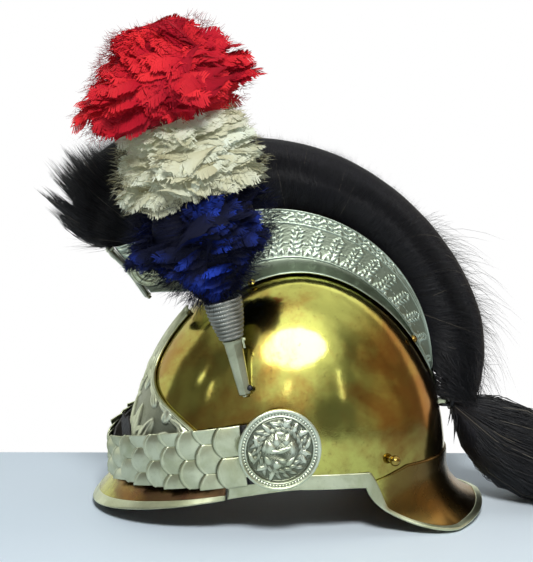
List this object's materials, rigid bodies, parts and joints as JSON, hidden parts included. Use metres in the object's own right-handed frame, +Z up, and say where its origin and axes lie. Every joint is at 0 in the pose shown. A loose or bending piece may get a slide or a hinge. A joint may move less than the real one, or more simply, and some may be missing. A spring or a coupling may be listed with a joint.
{
  "type": "parade helmet",
  "caption": "Brass cavalry parade helmet with a bristled crest, a tricolour feather plume, scaled chin straps laid over the visor and a horsehair mane.",
  "frame": {"origin": "centre of the head opening, in the plane of the bowl's lower edge", "axes": "+X to the wearer's left, -Y to the front, +Z up"},
  "size_m": [0.2455, 0.6058, 0.3965],
  "materials": {
    "brass": "polished",
    "white_metal": "silvered, lightly tarnished",
    "horsehair": "coarse black horsehair",
    "wood": "plain",
    "black_iron": "black",
    "dark_metal": "dulled",
    "blue_feather": "dyed feathers",
    "cream_feather": "natural feathers",
    "red_feather": "dyed feathers",
    "black_leather": "waxed",
    "tan_leather": "plain",
    "cord": "twisted cord"
  },
  "bodies": {
    "helmet": {"bowl": "brass", "visor": "brass", "neck_guard": "brass", "visor_edge": "white_metal", "rim_band": "white_metal", "front_plate": "white_metal", "crest_left": "white_metal", "crest_right": "white_metal", "crest_channel": "white_metal", "crest_prow_floor": "white_metal", "crest_mask": "white_metal", "crest_tail": "white_metal", "crest_studs": "brass", "crest_nuts": "brass", "brush": "horsehair", "brush_backing": "wood", "mane_loop": "white_metal", "rear_studs": "brass", "plume_socket": "white_metal", "socket_bracket": "white_metal", "plume_catch": "white_metal", "pivot_posts": "brass", "liner_band": "tan_leather", "liner_tongues": "tan_leather", "liner_lace": "cord", "visor_lining": "black_leather"},
    "plume": {"plume_tulip": "dark_metal", "plume_stem": "dark_metal", "feathers_blue": "blue_feather", "feathers_cream": "cream_feather", "feathers_red": "red_feather"},
    "mane_tail": {"mane": "horsehair", "mane_tie": "black_iron"},
    "left_strap": {"left_rosette": "white_metal", "left_strap_root": "white_metal", "left_strap_leather": "black_leather"},
    "left_row_01": {"left_scale_01": "white_metal"},
    "left_row_02": {"left_scale_02": "white_metal"},
    "left_row_03": {"left_scale_03": "white_metal"},
    "left_row_04": {"left_scale_04": "white_metal"},
    "left_row_05": {"left_scale_05": "white_metal"},
    "left_row_06": {"left_scale_06": "white_metal"},
    "left_row_07": {"left_scale_07": "white_metal"},
    "left_row_08": {"left_scale_08": "white_metal", "strap_thong": "black_leather"},
    "left_row_09": {"left_scale_09": "white_metal"},
    "left_row_10": {"left_scale_10": "white_metal"},
    "right_strap": {"right_rosette": "white_metal", "right_strap_root": "white_metal", "right_strap_leather": "black_leather"},
    "right_row_01": {"right_scale_01": "white_metal"},
    "right_row_02": {"right_scale_02": "white_metal"},
    "right_row_03": {"right_scale_03": "white_metal"},
    "right_row_04": {"right_scale_04": "white_metal"},
    "right_row_05": {"right_scale_05": "white_metal"},
    "right_row_06": {"right_scale_06": "white_metal"},
    "right_row_07": {"right_scale_07": "white_metal"},
    "right_row_08": {"right_scale_08": "white_metal"},
    "right_row_09": {"right_scale_09": "white_metal"},
    "right_row_10": {"right_scale_10": "white_metal"}
  },
  "joints": [
    {"name": "plume_lift", "type": "slide", "parent": "helmet", "child": "plume", "axis": [0, -0.2588, 0.9659], "range_m": [0, 0.04]},
    {"name": "mane_swing", "type": "hinge", "parent": "helmet", "child": "mane_tail", "pos_m": [0, 0.131, 0.048], "axis": [0, 0, 1], "range_deg": [-20, 20]},
    {"name": "left_strap_raise", "type": "hinge", "parent": "helmet", "child": "left_strap", "pos_m": [0.0985, -0.022, 0.033], "axis": [-1, 0, 0], "range_deg": [0, 25]},
    {"name": "left_flex_01", "type": "hinge", "parent": "left_strap", "child": "left_row_01", "pos_m": [0.09709, -0.04788, 0.02665], "axis": [0, 0, 1], "range_deg": [0, 12.37], "deforming": ["left_strap_leather"]},
    {"name": "left_flex_02", "type": "hinge", "parent": "left_row_01", "child": "left_row_02", "pos_m": [0.09393, -0.06228, 0.02419], "axis": [0, 0, 1], "range_deg": [0, 5.73]},
    {"name": "left_flex_03", "type": "hinge", "parent": "left_row_02", "child": "left_row_03", "pos_m": [0.08936, -0.0763, 0.02172], "axis": [0, 0, 1], "range_deg": [0, 6.02]},
    {"name": "left_flex_04", "type": "hinge", "parent": "left_row_03", "child": "left_row_04", "pos_m": [0.08334, -0.08976, 0.01926], "axis": [0, 0, 1], "range_deg": [0, 6.42]},
    {"name": "left_flex_05", "type": "hinge", "parent": "left_row_04", "child": "left_row_05", "pos_m": [0.07585, -0.10246, 0.01679], "axis": [0, 0, 1], "range_deg": [0, 6.93]},
    {"name": "left_flex_06", "type": "hinge", "parent": "left_row_05", "child": "left_row_06", "pos_m": [0.06689, -0.11416, 0.01433], "axis": [0, 0, 1], "range_deg": [0, 7.55]},
    {"name": "left_flex_07", "type": "hinge", "parent": "left_row_06", "child": "left_row_07", "pos_m": [0.05647, -0.12459, 0.01186], "axis": [0, 0, 1], "range_deg": [0, 8.28]},
    {"name": "left_flex_08", "type": "hinge", "parent": "left_row_07", "child": "left_row_08", "pos_m": [0.04467, -0.1334, 0.0094], "axis": [0, 0, 1], "range_deg": [0, 9.07]},
    {"name": "left_flex_09", "type": "hinge", "parent": "left_row_08", "child": "left_row_09", "pos_m": [0.03162, -0.14025, 0.00693], "axis": [0, 0, 1], "range_deg": [0, 9.82]},
    {"name": "left_flex_10", "type": "hinge", "parent": "left_row_09", "child": "left_row_10", "pos_m": [0.0176, -0.14477, 0.00447], "axis": [0, 0, 1], "range_deg": [0, 10.4]},
    {"name": "right_strap_raise", "type": "hinge", "parent": "helmet", "child": "right_strap", "pos_m": [-0.0985, -0.022, 0.033], "axis": [-1, 0, 0], "range_deg": [0, 25]},
    {"name": "right_flex_01", "type": "hinge", "parent": "right_strap", "child": "right_row_01", "pos_m": [-0.09709, -0.04788, 0.02665], "axis": [0, 0, -1], "range_deg": [0, 12.37], "deforming": ["right_strap_leather"]},
    {"name": "right_flex_02", "type": "hinge", "parent": "right_row_01", "child": "right_row_02", "pos_m": [-0.09393, -0.06228, 0.02419], "axis": [0, 0, -1], "range_deg": [0, 5.73]},
    {"name": "right_flex_03", "type": "hinge", "parent": "right_row_02", "child": "right_row_03", "pos_m": [-0.08936, -0.0763, 0.02172], "axis": [0, 0, -1], "range_deg": [0, 6.02]},
    {"name": "right_flex_04", "type": "hinge", "parent": "right_row_03", "child": "right_row_04", "pos_m": [-0.08334, -0.08976, 0.01926], "axis": [0, 0, -1], "range_deg": [0, 6.42]},
    {"name": "right_flex_05", "type": "hinge", "parent": "right_row_04", "child": "right_row_05", "pos_m": [-0.07585, -0.10246, 0.01679], "axis": [0, 0, -1], "range_deg": [0, 6.93]},
    {"name": "right_flex_06", "type": "hinge", "parent": "right_row_05", "child": "right_row_06", "pos_m": [-0.06689, -0.11416, 0.01433], "axis": [0, 0, -1], "range_deg": [0, 7.55]},
    {"name": "right_flex_07", "type": "hinge", "parent": "right_row_06", "child": "right_row_07", "pos_m": [-0.05647, -0.12459, 0.01186], "axis": [0, 0, -1], "range_deg": [0, 8.28]},
    {"name": "right_flex_08", "type": "hinge", "parent": "right_row_07", "child": "right_row_08", "pos_m": [-0.04467, -0.1334, 0.0094], "axis": [0, 0, -1], "range_deg": [0, 9.07]},
    {"name": "right_flex_09", "type": "hinge", "parent": "right_row_08", "child": "right_row_09", "pos_m": [-0.03162, -0.14025, 0.00693], "axis": [0, 0, -1], "range_deg": [0, 9.82]},
    {"name": "right_flex_10", "type": "hinge", "parent": "right_row_09", "child": "right_row_10", "pos_m": [-0.0176, -0.14477, 0.00447], "axis": [0, 0, -1], "range_deg": [0, 10.4]}
  ],
  "couplings": [
    {"joint": "left_flex_02", "follows": "left_flex_01", "ratio": 0.4628},
    {"joint": "left_flex_03", "follows": "left_flex_01", "ratio": 0.4863},
    {"joint": "left_flex_04", "follows": "left_flex_01", "ratio": 0.5184},
    {"joint": "left_flex_05", "follows": "left_flex_01", "ratio": 0.5596},
    {"joint": "left_flex_06", "follows": "left_flex_01", "ratio": 0.6102},
    {"joint": "left_flex_07", "follows": "left_flex_01", "ratio": 0.6691},
    {"joint": "left_flex_08", "follows": "left_flex_01", "ratio": 0.7325},
    {"joint": "left_flex_09", "follows": "left_flex_01", "ratio": 0.7932},
    {"joint": "left_flex_10", "follows": "left_flex_01", "ratio": 0.8402},
    {"joint": "right_flex_02", "follows": "right_flex_01", "ratio": 0.4628},
    {"joint": "right_flex_03", "follows": "right_flex_01", "ratio": 0.4863},
    {"joint": "right_flex_04", "follows": "right_flex_01", "ratio": 0.5184},
    {"joint": "right_flex_05", "follows": "right_flex_01", "ratio": 0.5596},
    {"joint": "right_flex_06", "follows": "right_flex_01", "ratio": 0.6102},
    {"joint": "right_flex_07", "follows": "right_flex_01", "ratio": 0.6691},
    {"joint": "right_flex_08", "follows": "right_flex_01", "ratio": 0.7325},
    {"joint": "right_flex_09", "follows": "right_flex_01", "ratio": 0.7932},
    {"joint": "right_flex_10", "follows": "right_flex_01", "ratio": 0.8402}
  ]
}
